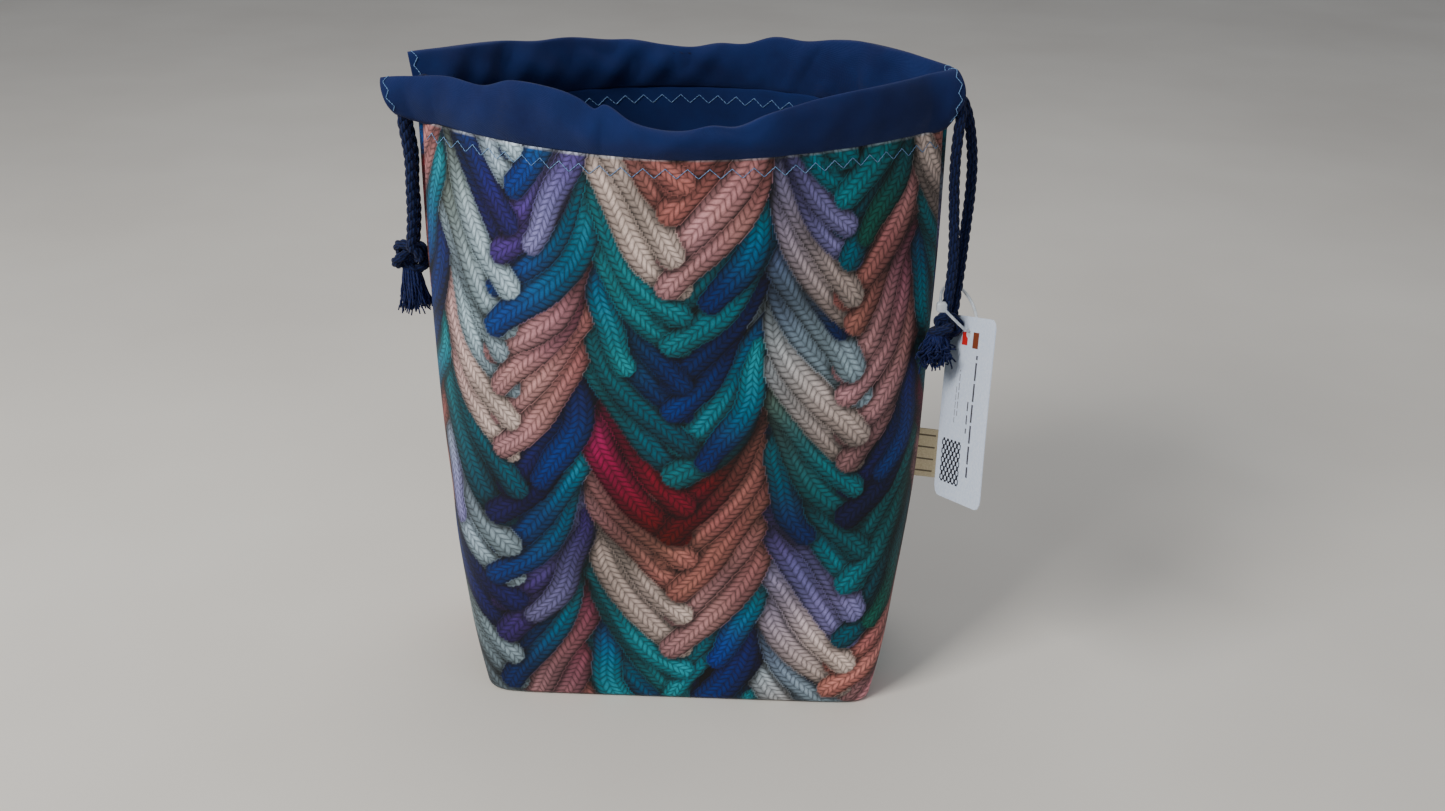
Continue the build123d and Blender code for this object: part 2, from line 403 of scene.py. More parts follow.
def label_material():
    """Cream tape with plain dark bars across it."""
    s = Shader("label_cotton", 0.8, Specular_IOR_Level=0.2)
    u, v = s.uv()
    middle = s.scaled(s.math("FRACT", s.times(v, 4)), 1, -0.5)
    bars = s.math("LESS_THAN", s.math("ABSOLUTE", middle), 0.07)
    dark = s.times(s.times(bars, s.between(u, 0.2, 0.86)), 0.8)
    thread = s.noise(s.coordinates(), 1400, 3, 0.8)
    s.bump(thread, 0.0001, 0.7)
    return s.colour(s.cover(dark, s.ramp(thread, "C9B992", "E6DABA"), "3B3430"))


def paper(name):
    s = Shader(name, 0.45, Specular_IOR_Level=0.4)
    grain = s.noise(s.coordinates(), 700, 4, 0.7)
    s.bump(grain, 0.00003, 0.4)
    # the white card's colours are tinted light blue: painted shade, the bluish shade in which the card
    # hangs
    return s, s.ramp(grain, "C6D4EA", "DFE8F6")


def card_material():
    """White card, printed on one face with plain bars, two plain blocks and a dotted square."""
    s, value = paper("card")
    u, v = s.uv()

    def box(u0, v0, u1, v1):
        return s.times(s.between(u, u0, u1), s.between(v, v0, v1))

    # broken bars: box, dashes along the card's whole height, how much of a dash is filled, colour
    # (v runs from 0 at the card's foot to 1 at its head)
    for place, dashes, filled, code in (
            ((0.665, 0.15, 0.70, 0.80), 9, 0.86, "46434C"),
            ((0.575, 0.38, 0.60, 0.56), 14, 0.7, "46434C"),
            ((0.36, 0.46, 0.375, 0.71), 20, 0.75, "6B6B78"),
            ((0.31, 0.42, 0.322, 0.62), 24, 0.8, "6B6B78")):
        cut = s.math("LESS_THAN", s.math("FRACT", s.times(v, dashes)), filled)
        value = s.cover(s.times(box(*place), cut), value, code)
    dots_u = s.math("SINE", s.times(u, 2 * pi * 12))
    dots_v = s.math("SINE", s.times(v, 2 * pi * 12.0 * 89 / 51))
    dots = s.math("GREATER_THAN", s.times(dots_u, dots_v), -0.12)
    value = s.cover(s.times(dots, box(0.10, 0.085, 0.52, 0.325)), value, "24242C")
    value = s.cover(box(0.33, 0.845, 0.45, 0.915), value, "C41E1E")
    value = s.cover(box(0.56, 0.835, 0.68, 0.92), value, "7A3B22")
    return s.colour(value)


def plain_card_material():
    s, value = paper("card_back")
    return s.colour(value)


def nylon_material():
    s = Shader("clear_nylon", 0.28, IOR=1.5, Transmission_Weight=0.45, Alpha=0.9)
    return s.colour(s.ramp(s.noise(s.coordinates(), 300, 3), "C9D3DC", "F2F6FA"))


PRINT, NAVY, FLEECE = print_material(), navy_cotton_material(), fleece_material()
CORD = cord_material("navy_cord", "060B20", "16234F")
YARN = cord_material("navy_yarn", "070D2C", "1A2C6A")
THREAD, LABEL = thread_material(), label_material()
CARD, CARD_BACK, NYLON = card_material(), plain_card_material(), nylon_material()

# ---- cords' own lines, first: each tail's route from its casing to its knot, and its length
TAILS = {
    "left_front_tail": ([
        (-120.5, -4.2, 296.5), (-126.5, -3.8, 295), (-130.4, -4.6, 289.5),
        (-128.9, -6, 281), (-127.2, -7.4, 269), (-127.9, -7.6, 254),
        (-128.4, -6.2, 240), (-130.8, -4.2, 223.5)], 79.2),
    "left_back_tail": ([
        (-120.5, 5.6, 296.5), (-126, 5.4, 295.2), (-130.6, 5.8, 288.5),
        (-129.6, 6.4, 279), (-128.2, 7.2, 268), (-129.8, 7.8, 253),
        (-128.8, 6.2, 238), (-130.6, 3.8, 223.5)], 78.8),
    "right_front_tail": ([
        (120.5, -4.2, 304), (126, -4.6, 302.8), (129, -6.5, 296.5),
        (127.5, -8.2, 285), (127.2, -8.6, 268), (128.4, -9.4, 250),
        (129.6, -11.5, 232), (129, -16, 214), (126.2, -22, 199.5)], 111.7),
    "right_back_tail": ([
        (120.5, 5.6, 304), (126.6, 5.4, 303), (131.8, 6.4, 297),
        (135.4, 7.4, 286), (138, 7.6, 270), (138, 5.6, 253),
        (136.2, 0.5, 236), (133.8, -8.5, 217.5), (130.8, -17.6, 200.5)], 116.7),
}
tail_points = {name: nurbs_points(name + "_line", route) for name, (route, _) in TAILS.items()}


# ---- the bag's own surface
def level_at(z):
    """Outline parameters at any height, on a smooth curve through the levels."""
    heights, values = LEVELS[:, 0], LEVELS[:, 1:]
    slopes = np.gradient(values, heights, axis=0)
    z = min(max(z, 0), heights[-1])
    i = min(int(np.searchsorted(heights, z, side="right")) - 1, len(heights) - 2)
    h = heights[i + 1] - heights[i]
    return hermite(values[i], h * slopes[i], values[i + 1], h * slopes[i + 1],
                   (z - heights[i]) / h)


def outline(z, columns):
    """Points and outward normals of the front and back halves at a height, seam to seam."""
    half_width, front, back, p, q = level_at(z)
    turn = np.linspace(0, 1, 400)
    angle = pi * turn - 0.9 * np.sin(2 * pi * turn) / 2
    across = np.sign(np.cos(angle)) * np.abs(np.cos(angle)) ** (2 / p)
    bow = np.abs(np.sin(angle)) ** (2 / q)
    # the ring runs from -X through the front to +X, then through the back
    ring = np.concatenate([
        np.stack([-half_width * across, -front * bow], axis=1)[:-1],
        np.stack([half_width * across, back * bow], axis=1)])
    ring = evenly(ring, 801)[:-1]
    step = arc_lengths(ring)[-1] / len(ring)
    offsets = np.arange(-40, 41)
    weights = np.exp(-0.5 * (offsets * step / TIP_ROUNDING) ** 2)
    weights /= weights.sum()
    ring = sum(w * np.roll(ring, o, axis=0) for o, w in zip(offsets, weights))
    ring[:, 0] *= half_width / np.abs(ring[:, 0]).max()
    ring[:, 1] *= np.where(ring[:, 1] < 0, front / -ring[:, 1].min(), back / ring[:, 1].max())
    closed = np.concatenate([ring, ring[:1]])
    s = arc_lengths(closed)
    first, right = np.argmin(ring[:, 0]), s[np.argmax(ring[:, 0])]
    left = s[first] if first < 400 else s[first] - s[-1]
    tangent = unit(np.roll(ring, -1, axis=0) - np.roll(ring, 1, axis=0))
    normal = np.stack([tangent[:, 1], -tangent[:, 0]], axis=1)
    normal = np.concatenate([normal, normal[:1]])
    halves = []
    for begin, end in ((left + SEAM_FORWARD, right - SEAM_FORWARD),
                       (right - SEAM_FORWARD, left + s[-1] + SEAM_FORWARD)):
        place = np.linspace(begin, end, columns) % s[-1]
        halves.append((read_at(place, s, closed), unit(read_at(place, s, normal))))
    return halves


COLUMNS, ROWS = 331, 288
heights = np.concatenate([[0, 0.25, 0.7, 1.3, 2.2], np.linspace(3.4, RIM_Z, ROWS - 5)])
wall = [[], []]
wall_normals = [[], []]
for z in heights:
    edge = EDGE_RADIUS * (1 - sqrt(1 - (1 - min(z / EDGE_RADIUS, 1)) ** 2))
    skew = BASE_SKEW * (1 - smoothstep(z / 160))
    for half, (point, out) in enumerate(outline(z, COLUMNS)):
        point[:, 1] -= skew * point[:, 0]
        wall[half].append(point - out * edge)
        wall_normals[half].append(out)
wall = np.array(wall)  # half, row, column, xy
wall_normals = np.array(wall_normals)
share = np.linspace(0, 1, COLUMNS)


def body_ripple(half, f, z):
    """How far the filled-out cloth stands off its mean surface, in millimetres."""
    u = (f - 0.5) * PANEL_WIDTH
    free = smoothstep((z - 12) / 90) * (1 - 0.55 * smoothstep((z - 250) / 37))
    inner = smoothstep(np.minimum(f, 1 - f) / 0.06)
    long_ = waves(u, z * 0.35, 40 + half, 5, 70, 150) * 0.75
    short = waves(u, z * 0.6, 50 + half, 5, 28, 60) * 0.22
    return (long_ + short) * free * inner


def seam_dip(f):
    near = np.minimum(f, 1 - f) * PANEL_WIDTH
    return 0.9 * np.exp(-(near / 1.5) ** 2)


# The base's rows, from its seam outward, each as a share of the way from the foot to the seam
BASE_STEPS = (0.97, 0.8, 0.6, 0.4, 0.22, 0.1, 0.04)


def body_grid(half, inset):
    """Wall and base of one panel at a distance inside the bag's surface: rows of points."""
    f, z = np.meshgrid(share, heights)
    off = body_ripple(half, f, z) - seam_dip(f) - inset
    xy = wall[half] + wall_normals[half] * off[..., None]
    up = inset + z * (RIM_Z - inset) / RIM_Z
    rows = np.concatenate([xy, up[..., None]], axis=2)
    foot = rows[0]
    seam = foot * (0, 0, 1)
    seam[:, 0] = np.clip(foot[:, 0], -BASE_SEAM, BASE_SEAM)
    base = [foot + (seam - foot) * t + (0, 0, 0.35 * sin(pi * t * 0.5)) for t in BASE_STEPS]
    return np.concatenate([np.array(base), rows])


# ---- the printed pattern
PALETTE = {k: srgb(v) for k, v in {
    "cream": "F0D9CE", "coral": "E3978F", "pink": "E6AEB0", "magenta": "A8456A",
    "red": "97202E", "teal": "2AA0AE", "deep_teal": "15657A", "navy": "2A4488",
    "indigo": "2A2C66", "purple": "594690", "lavender": "9D99D0", "ice": "BFD6E2",
    "olive": "76806A", "green": "1F7566", "gap": "0B0E20"}.items()}
COLUMN_PITCH, BAND_PITCH, COLUMN_SHIFT = 84, 16.4, 92.0
# Columns of nested Vs. For each V of a column's repeat, from the lowest: the colours of its left
# rope and of its right rope, each from the top end to the tip.
BANDS = {
    "middle": ["cream cream coral pink", "pink coral coral coral", "magenta red coral red",
               "teal deep_teal navy teal", "teal navy indigo navy", "teal teal navy teal"],
    "left": ["pink cream coral pink", "ice ice magenta pink", "olive ice teal navy",
             "navy indigo lavender purple", "lavender ice teal navy",
             "teal deep_teal navy indigo"],
    "right": ["ice cream coral pink", "navy ice magenta pink", "lavender cream pink coral",
              "purple lavender green deep_teal", "navy teal green teal",
              "olive teal navy indigo"],
}
COLUMN_KINDS = ("middle", "right", "middle", "left")
# Ropes that lie over the Vs: three points from the V's tip, half width, which V they lie on
LEAVES = [
    ((-30, 74), (-37, 40), (-24, 8), 7.5, 4), ((33, 70), (34, 36), (18, 6), 7.5, 5),
    ((-14, 60), (-16, 38), (-3, 18), 7, 1), ((20, 66), (17, 44), (4, 20), 7, 2),
    ((38, 52), (30, 22), (12, -8), 7, 3),
]


def rope_line(a, middle, b, n=56):
    a, middle, b = (np.array(p, float) for p in (a, middle, b))
    control = 2 * middle - (a + b) / 2
    t = np.linspace(0, 1, n)[:, None]
    return (1 - t) ** 2 * a + 2 * t * (1 - t) * control + t**2 * b


def drawn_ropes(r):
    """Each drawn rope's line, half width and two colours, from the lowest V up."""
    nested = []
    for column in range(-4, 5):
        bands = BANDS[COLUMN_KINDS[column % 4]]
        for band in range(-6, 24):
            kind = band // 2 % 6
            tip = np.array((column * COLUMN_PITCH + r.uniform(-2, 2),
                            36 + band * BAND_PITCH - (COLUMN_SHIFT if column % 2 else 0)
                            + r.uniform(-2.5, 2.5)))
            left0, left1, right0, right1 = bands[kind].split()
            arms = [((r.uniform(-5, 5), 54), (r.uniform(-4, 4), 32), (0, 6), 9.5, right0, left1)]
            for side, first, last in ((-1, left0, left1), (1, right0, right1)):
                arms.append(((side * (46 + r.uniform(-11, 9)), 90 + r.uniform(-16, 12)),
                             (side * (29 + r.uniform(-4, 5)), 42 + r.uniform(-4, 5)),
                             (side * -1.5, 0), 8.3 + r.uniform(-0.9, 1.1), first, last))
            if band % 2:
                arms = arms[:1] + arms[:0:-1]
            for a, m, b, half, on in LEAVES:
                if on == kind and band % 2:
                    first, last = (left0, left1) if a[0] < 0 else (right0, right1)
                    arms.append((a, m, b, half, last, first))
            nested.append((tip, arms))
    nested.sort(key=lambda item: item[0][1])
    return [(rope_line(a, m, b) + tip, half, first, last)
            for tip, arms in nested for a, m, b, half, first, last in arms]


def paint(u, v, u_shift, v_shift):
    """Colour, and place along and across the rope, for every point of a cloth in millimetres."""
    ink = np.tile(PALETTE["gap"], (len(u), 1))
    strand = np.tile((0, 0, 0.8), (len(u), 1))
    u = u + u_shift + waves(u, v, 3, 4, 60, 140) * 1.6
    v = v + v_shift + waves(v, u, 4, 4, 60, 140) * 1.6
    r = np.random.default_rng(5)
    for line, half, first, last in drawn_ropes(r):
        line[:, 0] += 1.7 * np.sin(2 * pi * (np.linspace(0, 1.4, len(line)) + r.uniform()))
        low, high = line.min(axis=0) - half * 1.5, line.max(axis=0) + half * 1.5
        near = np.flatnonzero((u > low[0]) & (u < high[0]) & (v > low[1]) & (v < high[1]))
        if not len(near):
            continue
        tangent = unit(np.gradient(line, axis=0))
        s = arc_lengths(line)
        d = np.stack([u[near], v[near]], axis=1)[:, None, :] - line[None, :, :]
        k = np.argmin((d**2).sum(axis=2), axis=1)
        pick = d[np.arange(len(near)), k]
        t = tangent[k]
        forward = (pick * t).sum(axis=1)
        sideways = pick[:, 0] * t[:, 1] - pick[:, 1] * t[:, 0]
        along = s[k] + forward
        part = np.clip(along / s[-1], -0.1, 1.1)
        # a rope swells from its start and draws in to its end
        end = smoothstep((part - 0.72) / 0.28)
        girth = half * (0.55 + 0.45 * smoothstep(part / 0.35)) * (1 - 0.22 * end)
        over = np.clip(-along, 0, None) + np.clip(along - s[-1], 0, None)
        signed = np.clip(sideways / girth, -1, 1)
        reach = np.hypot(sideways, over) / girth
        tone = smoothstep(part)[:, None]
        colour = PALETTE[first] * (1 - tone) + PALETTE[last] * tone
        colour = colour * r.uniform(0.62, 1.1)
        inside = reach < 1
        shadow = (reach >= 1) & (reach < 1.55)
        dim = 0.28 + 0.72 * np.clip((reach[shadow] - 1) / 0.55, 0, 1)
        strand[near[shadow], 2] *= dim
        at = near[inside]
        ink[at] = colour[inside]
        strand[at, 0] = along[inside]
        strand[at, 1] = signed[inside]
        strand[at, 2] = (1.12 - 0.75 * np.clip(over[inside] / half, 0, 1) ** 1.5
                         + 0.22 * signed[inside] * np.sign(line[0, 0] - line[-1, 0] + 0.01))
    return ink, strand


def print_on(obj, half, grid, turned_rows):
    """Gives the cloth the attributes that the printed cotton's shader draws from, with a painted
    highlight along its folded top edge.
    """
    rows, cols = grid.shape[:2]
    f = np.tile(share, (rows, 1))
    u = (f - 0.5) * PANEL_WIDTH
    v = arc_lengths(grid[:, cols // 2])
    v = np.tile((v - v[len(BASE_STEPS)])[:, None], (1, cols))
    shift = ((0, 0), (37, 61))[half]
    ink, strand = paint(u.ravel(), v.ravel(), *shift)
    ink = ink.reshape(rows, cols, 3)
    # the folded top rows are whitened towards pale blue-white: a painted highlight where the fold's
    # edge catches the light
    ink[-turned_rows - 1:] = ink[-turned_rows - 1:] * 0.45 + srgb("E8EEF6") * 0.55
    ink = np.concatenate([ink.reshape(-1, 3), np.ones((rows * cols, 1))], axis=1)
    for name, kind, key, values in (("ink", "FLOAT_COLOR", "color", ink),
                                    ("strand", "FLOAT_VECTOR", "vector", strand)):
        layer = obj.data.attributes.new(name, kind, "POINT")
        layer.data.foreach_set(key, values.astype(np.float32).ravel())


# ---- where the mouth folds, and the slices of the pieces on the rim
# A plane leans from beside the side seams' tops out to the walls' feet, at this angle from upright;
# bend_slice works out how far along it the rim reaches.
LEAN = radians(9.88)
# The ends lie past the rims' middles (113.3 and 124.1), so that the halves meet without crossing.
FOLD_START, FOLD_END = 49.3, (125.3, 136.3)
# Pieces on the rim are thick where the cloth is thin, so they are made in slices between these
# distances from the middle.
CUTS = (0, 24, 48, 72, 94, 112, 124)
RIM_END = 160.0  # beyond the ends of the casings


def bend_with_mouth(obj):
    """Bakes the cloth's placement into its mesh."""
    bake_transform(obj)


def rim_at(half, x):
    """Points and outward normals of the rim at x, an array."""
    order = np.argsort(wall[half][-1][:, 0])
    row, out = wall[half][-1][order], wall_normals[half][-1][order]
    inside = np.clip(x, row[4, 0], row[-5, 0])
    return read_at(inside, row[:, 0], row), unit(read_at(inside, row[:, 0], out))


def bend_slice(obj, half, side, inner, outer):
    """Works out how far along the fold the rim under the slice lies at inner and outer, and bakes the
    slice's placement into its mesh.
    """
    point, _ = rim_at(half, np.array((side * inner, side * outer)))
    reach = np.abs(point[:, 1]) * cos(LEAN) + RIM_Z * sin(LEAN)
    first, last = (reach - FOLD_START) / (FOLD_END[half] - FOLD_START)
    last = 0.0 if outer == CUTS[-1] else last
    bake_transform(obj)


def slices_of(obj, half):
    """Cuts a piece on the rim into slices. Gives each slice and its two ends in x."""
    made = []
    whole = obj.data.attributes.new("whole_normal", "FLOAT_VECTOR", "POINT")
    whole.data.foreach_set("vector", [c for v in obj.data.vertices for c in v.normal])
    for side, word in ((-1, "left"), (1, "right")):
        for k, (inner, outer) in enumerate(zip(CUTS, CUTS[1:])):
            far = RIM_END if outer == CUTS[-1] else outer
            bm = bmesh.new()
            bm.from_mesh(obj.data)
            for at, away in ((inner, -side), (far, side)):
                bmesh.ops.bisect_plane(bm, geom=bm.verts[:] + bm.edges[:] + bm.faces[:],
                                       plane_co=(side * at * MM, 0, 0), plane_no=(away, 0, 0),
                                       clear_outer=True)
            edges = [edge for edge in bm.edges if edge.is_boundary]
            for face in bmesh.ops.holes_fill(bm, edges=edges, sides=0)["faces"]:
                face.smooth = False
            mesh = bpy.data.meshes.new(f"{obj.name}_{word}_{k + 1}")
            bm.to_mesh(mesh)
            bm.free()
            for material in obj.data.materials:
                mesh.materials.append(material)
            if mesh.polygons:
                # the shading of the whole piece, so that the cuts don't show
                mesh.normals_split_custom_set_from_vertices(
                    [v.vector.normalized() for v in mesh.attributes["whole_normal"].data])
                piece = link(bpy.data.objects.new(mesh.name, mesh))
                bend_slice(piece, half, side, inner, outer)
                made.append((piece, sorted((side * inner, side * far))))
    bpy.data.objects.remove(obj)
    return made


def stands_for(node):
    """Hides the CAD node that the piece takes the place of."""
    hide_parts(node)


# ---- panels
WORDS = ("front", "back")
for half, word in enumerate(WORDS):
    skin = body_grid(half, 0)
    out = np.concatenate([wall_normals[half][-1], np.zeros((COLUMNS, 1))], axis=1)
    turned = [skin[-1] - out * back + (0, 0, up)
              for back, up in ((0.25, 0.45), (0.8, 0.4), (0.95, -1.5))]
    grid = np.concatenate([skin, turned])
    middle = body_grid(half, FLEECE_INSET)[::4, ::5]
    middle[:, :, 2] *= (RIM_Z - 4) / RIM_Z
    inside = body_grid(half, LINING_INSET)[::2, ::2]
    turned = [inside[-1] + out[::2] * on + (0, 0, up) for on, up in ((0.3, 1), (1.2, 1.5))]
    inside = np.concatenate([inside, turned])
    for layer, noun, points, material, slot, inset in (
            ("outer", "cloth", grid, PRINT, "print_cotton", 0),
            ("fleece", "layer", middle, FLEECE, "fleece", FLEECE_INSET),
            ("lining", "cloth", inside, NAVY, "navy_cotton", LINING_INSET)):
        faces = grid_faces(*points.shape[:2], flip=layer == "lining")
        cloth = make_mesh(f"{layer}_{word}_{noun}", points.reshape(-1, 3), faces, material)
        if layer == "outer":
            print_on(cloth, half, grid, 3)
        bend_with_mouth(cloth)
        stands_for(f"{layer}_{word}_panel")


# ---- drawstring casings
# stations from the left end to the right: where the seam is (x, y, z), where the folded top is
# (x, y, z), and how far the strip bulges outward and inward between them
FRONT_STATIONS = [
    (-132.5, -6.5, 290.3, -138.5, -5.5, 307, 4.6, 3),
    (-127, -6.8, 288.3, -132, -8, 308.2, 4.8, 3.4),
    (-119.5, -7.5, 286.4, -122.5, -12.5, 309.4, 4.8, 3.8),
    (-106, -20, 286.2, -105.5, -22.5, 311.3, 4.6, 4),
    (-89, -34, 286.2, -88.5, -36.2, 310.6, 4.4, 4),
    (-73.5, -44, 286.2, -73, -46.5, 315.6, 4.2, 4),
    (-55, -53, 286.2, -54.7, -54.5, 314.6, 4.2, 4),
    (-44, -57, 286.2, -43.8, -58.5, 311.6, 4.6, 4.2),
    (-36.8, -59, 286.2, -36.6, -61.2, 307.6, 4.8, 4.2),
    (-31.5, -60.2, 286.2, -31.2, -60.9, 309.2, 4.6, 4.4),
    (-20.5, -62.2, 286.2, -20.4, -65, 303.4, 5, 4.4),
    (-8, -63.4, 286.2, -8, -66.6, 300.6, 5.2, 4.6),
    (3, -63.6, 286.2, 3, -66.8, 300.3, 5.2, 4.6),
    (14.3, -63, 286.2, 14.3, -66, 302.2, 5, 4.6),
    (26, -61.4, 286.2, 26, -64, 301.4, 5.2, 4.6),
    (38.8, -58.6, 286.2, 38.7, -61.5, 306.2, 4.8, 4.4),
    (51.6, -54.4, 286.2, 51.5, -56.8, 309.2, 4.6, 4.2),
    (64.7, -48.8, 286.2, 64.6, -51, 311.6, 4.4, 4),
    (87.2, -35, 286.2, 87, -38, 313.6, 4.4, 4),
    (106, -20, 286.2, 106, -22, 314.2, 4.8, 4),
    (116, -10, 286.2, 117, -11, 315, 5.4, 4),
    (121.5, -6.4, 287.6, 122.8, -5.6, 315.4, 6.2, 4),
    (123.5, -5, 289.6, 124, -4.2, 315.2, 6.6, 3.6),
]
BACK_STATIONS = [
    (123, 5.6, 289.4, 125.5, 6.5, 313.2, 5.6, 3.8),
    (119, 8.6, 286.6, 121, 11, 314.2, 5.2, 4),
    (106, 22.5, 286.2, 107.5, 25.5, 316.4, 4.6, 4),
    (88, 39, 286.2, 88.5, 41.5, 317.6, 4.4, 4),
    (74, 50, 286.2, 74, 51, 316.6, 4.4, 4.2),
    (60, 58.6, 286.2, 60, 58.8, 314.2, 4.4, 4.4),
    (44, 66.4, 286.2, 44, 65.8, 314.4, 4.4, 4.6),
    (30, 71.2, 286.2, 30, 69, 310.4, 4.4, 4.6),
    (16, 73.6, 286.2, 16, 72.4, 309.8, 4.4, 4.6),
    (2, 74.4, 286.2, 2, 72, 307.6, 4.4, 4.8),
    (-12, 73.9, 286.2, -12, 72.2, 308.6, 4.4, 4.6),
    (-28, 71.6, 286.2, -28, 70.4, 311.4, 4.4, 4.6),
    (-42, 67.2, 286.2, -42, 67, 311.8, 4.4, 4.6),
    (-60, 58.6, 286.2, -60, 58.8, 314.2, 4.4, 4.2),
    (-75, 49.2, 286.2, -75, 50, 314, 4.4, 4),
    (-90, 37.4, 286.2, -90.5, 39, 316, 4.6, 4),
    (-106, 22.5, 286.2, -107.5, 25, 316.6, 4.8, 4),
    (-119, 8.6, 286.6, -122.5, 12, 316.4, 5.2, 4),
    (-124, 6.8, 289.6, -128.5, 9.5, 315.8, 5.2, 3.8),
]


CORD_ROOM = 3.5  # the strip never comes nearer to the cords' own line than this
SEAM_INSET = 1.6  # from the rim's outer face to the seam


def casing_lines(half, stations, columns=300):
    """Seam, folded top and the two bulges at each column, with the seam brought on to the rim."""
    line = evenly(spline_through(stations, columns * 3), columns)
    seam, top = line[:, :3].copy(), line[:, 3:6].copy()
    point, out = rim_at(half, seam[:, 0])
    on_rim = smoothstep((121.0 - np.abs(seam[:, 0])) / 10)[:, None]
    shift = (point - out * SEAM_INSET - seam[:, :2]) * on_rim
    seam[:, :2] += shift
    top[:, :2] += shift
    return seam, top, line[:, 6], line[:, 7]


def casing_grid(half, lines, seed, rise=18):
    """Grid round the folded strip: from the seam up the outside, over the fold, down inside."""
    seam, top, bulge_out, bulge_in = lines
    along = np.gradient((seam + top) / 2, axis=0)
    out = unit(np.stack([along[:, 1], -along[:, 0], np.zeros(len(seam))], axis=1))
    s = arc_lengths((seam + top) / 2)
    s = s - s[-1] / 2
    rows = []
    t_up = 1 - (1 - np.linspace(0, 1, rise)) ** 1.5
    for face, bulge in ((1, bulge_out), (-1, bulge_in)):
        for t in (t_up if face == 1 else t_up[::-1][1:]):
            swell = sin(pi * t) ** (0.85 if t < 0.5 else 0.6) if 0 < t < 1 else 0.0
            level = t * 24.0
            gather = waves(s, level * 0.9, seed + (face > 0), 8, 13, 42) * (0.75, 1.35)[half]
            slow = waves(s, level * 0.3, seed + 7, 4, 40, 110) * (0.9, 1.7)[half]
            push = face * bulge * swell + gather * swell + slow * t
            push = face * np.maximum(face * push, CORD_ROOM * swell)
            base = 0.7 * face * (1 - t) ** 3 - 0.2
            rows.append(seam + (top - seam) * t + out * (push + base)[:, None])
    return np.array(rows)


def shell(name, grid, material, thickness):
    """Cloth of a real thickness from a grid of points."""
    obj = make_mesh(name, grid.reshape(-1, 3), grid_faces(*grid.shape[:2]), material)
    thick = obj.modifiers.new("thickness", "SOLIDIFY")
    thick.thickness = thickness * MM
    thick.offset = -1.0
    deps = bpy.context.evaluated_depsgraph_get()
    mesh = bpy.data.meshes.new_from_object(obj.evaluated_get(deps))
    obj.modifiers.clear()
    obj.data = mesh
    return obj


casing_grids = []
casing_middles = []
for half, (word, stations, seed) in enumerate((("front", FRONT_STATIONS, 20),
                                               ("back", BACK_STATIONS, 30))):
    lines = casing_lines(half, stations)
    casing_middles.append(lines[:2])
    grid = casing_grid(half, lines, seed)
    casing_grids.append(grid)
    for cloth, (low_x, high_x) in slices_of(shell(f"{word}_casing_cloth", grid, NAVY, 0.6), half):
        stands_for(f"{word}_casing")


# ---- cords inside the casings
def rope_piece(name, points, sides=8, step=1):
    tubes = Tubes()
    add_rope(tubes, points, CORD_D, CORD_PITCH, sides, step)
    return tubes.object(name + "_rope", CORD)


def rim_run(half, height, drop):
    """A cord's line up the middle of a casing, lower where the casing has slumped."""
    seam, top = casing_middles[half]
    seam, top = (a[np.abs(seam[:, 0]) < 117] for a in (seam, top))
    level = height - drop * np.exp(-((seam[:, 0] - 4) / 48) ** 2)
    part = (level - seam[:, 2]) / (top[:, 2] - seam[:, 2])
    return seam + (top - seam) * part[:, None]


RUNS = {
    "left_cord_front_run": (0, 296.5, 5.4),
    "left_cord_back_run": (1, 296.5, 0),
    "right_cord_front_run": (0, 304, 7.6),
    "right_cord_back_run": (1, 304, 0),
}
for name, (half, height, drop) in RUNS.items():
    for run, _ in slices_of(rope_piece(name, rim_run(half, height, drop), 6, 2), half):
        stands_for(name)

for name, x, height in (("left_cord_bridge", 125, 296.5), ("right_cord_bridge", -125, 304)):
    # the front runs go from -X to +X, the back ones home again
    front, back = rim_run(0, height, 0), rim_run(1, height, 0)
    route = [front[-1], (x, 0, height), back[0]] if x > 0 else [front[0], (x, 0, height), back[-1]]
    bridge = rope_piece(name, nurbs_points(name + "_line", route))
    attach(bridge, "root")
    stands_for(name)

# ---- tails, knots and frayed ends
ropes = {}
for name, points in tail_points.items():
    ropes[name] = rope_piece(name, points, 9, 0.9)
    stands_for(name)
    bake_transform(ropes[name])


def knot_line(centre, turn, size, wide=1):
    """Closed three-lobed path of an overhand knot pulled tight."""
    t = np.linspace(0, 2 * pi, 90)
    ring = size * (0.66 + 0.27 * np.cos(3 * t))
    local = np.stack([ring * np.cos(2 * t) * wide, 0.50 * size * np.sin(3 * t),
                      ring * np.sin(2 * t)], axis=1)
    matrix = np.array(Matrix.Rotation(turn[0], 3, "X") @ Matrix.Rotation(turn[1], 3, "Z")
                      @ Matrix.Rotation(turn[2], 3, "Y"))
    return local @ matrix.T + np.asarray(centre)


KNOTS = {
    # middle, turns about x, z and y, size, relative width, body
    "left_knot": ((-132.2, 0, 219), (0.35, 0.2, 0.4), 7.6, 1.15, "left_pull"),
    "right_knot": ((127.2, -22, 194.7), (0.5, 0.5, 1.1), 7, 1, "right_pull"),
}
knots = {}
for name, (centre, turn, size, wide, body) in KNOTS.items():
    tubes = Tubes()
    add_rope(tubes, knot_line(centre, turn, size, wide), CORD_D * 0.92, 13, 9, 0.8)
    through = np.array(centre) + [(0.5, 0, 7), (0, 0, 0), (-0.5, 0, -7)]
    add_rope(tubes, through, CORD_D * 1.1, 13, 9, 0.8)
    knots[name] = tubes.object(name + "_rope", CORD)
    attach(knots[name], body)
    stands_for(name)


def yarn(start, direction, length, curl, seed, n=14):
    """One loose yarn: it leaves the bundle, droops and curls."""
    r = np.random.default_rng(seed)
    t = np.linspace(0, 1, n)[:, None]
    side_a, side_b = r.normal(size=3), r.normal(size=3)
    twist = r.uniform(0.8, 1.6)
    phase = r.uniform(0, 2 * pi)
    grow = curl * t ** 1.4
    return (start + direction * length * t + side_a * grow * np.sin(twist * 2 * pi * t + phase)
            + side_b * grow * np.cos(twist * 2 * pi * t * 0.8))


